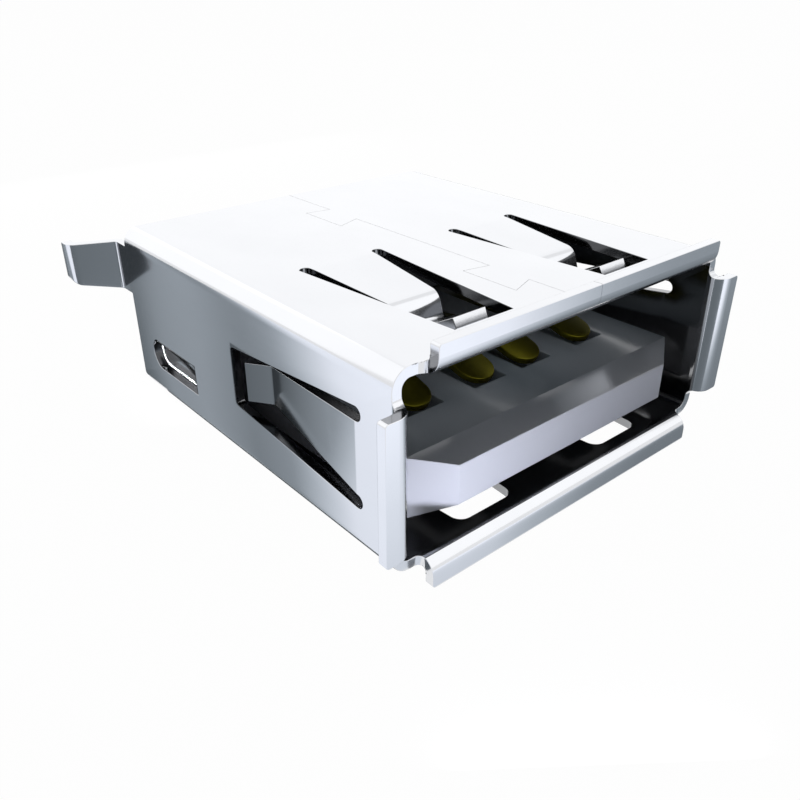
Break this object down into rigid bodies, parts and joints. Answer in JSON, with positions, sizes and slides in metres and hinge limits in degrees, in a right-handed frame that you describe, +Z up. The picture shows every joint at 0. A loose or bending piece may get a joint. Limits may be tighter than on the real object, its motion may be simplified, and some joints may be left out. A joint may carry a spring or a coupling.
{
  "type": "usb-a socket",
  "caption": "Shrouded rectangular connector socket: a folded sheet shell with spring fingers, flared lips and rear ears around a moulded tongue with sprung contacts.",
  "frame": {"origin": "middle of the mouth, in the plane of the lips' front faces", "axes": "+X to the right seen from in front of the mouth with the tongue low, +Y back along the tube away from the mouth, +Z up towards the wall with the seam"},
  "size_m": [0.016, 0.0161, 0.0068],
  "materials": {
    "nickel_sheet": "nickel plated, satin gloss",
    "white_plastic": "moulded, semi-gloss",
    "contact_gold": "gold flashed strip"
  },
  "bodies": {
    "root": {"shell": "nickel_sheet", "insulator": "white_plastic", "contact_1": "contact_gold", "contact_2": "contact_gold", "contact_3": "contact_gold", "contact_4": "contact_gold"}
  },
  "joints": []
}
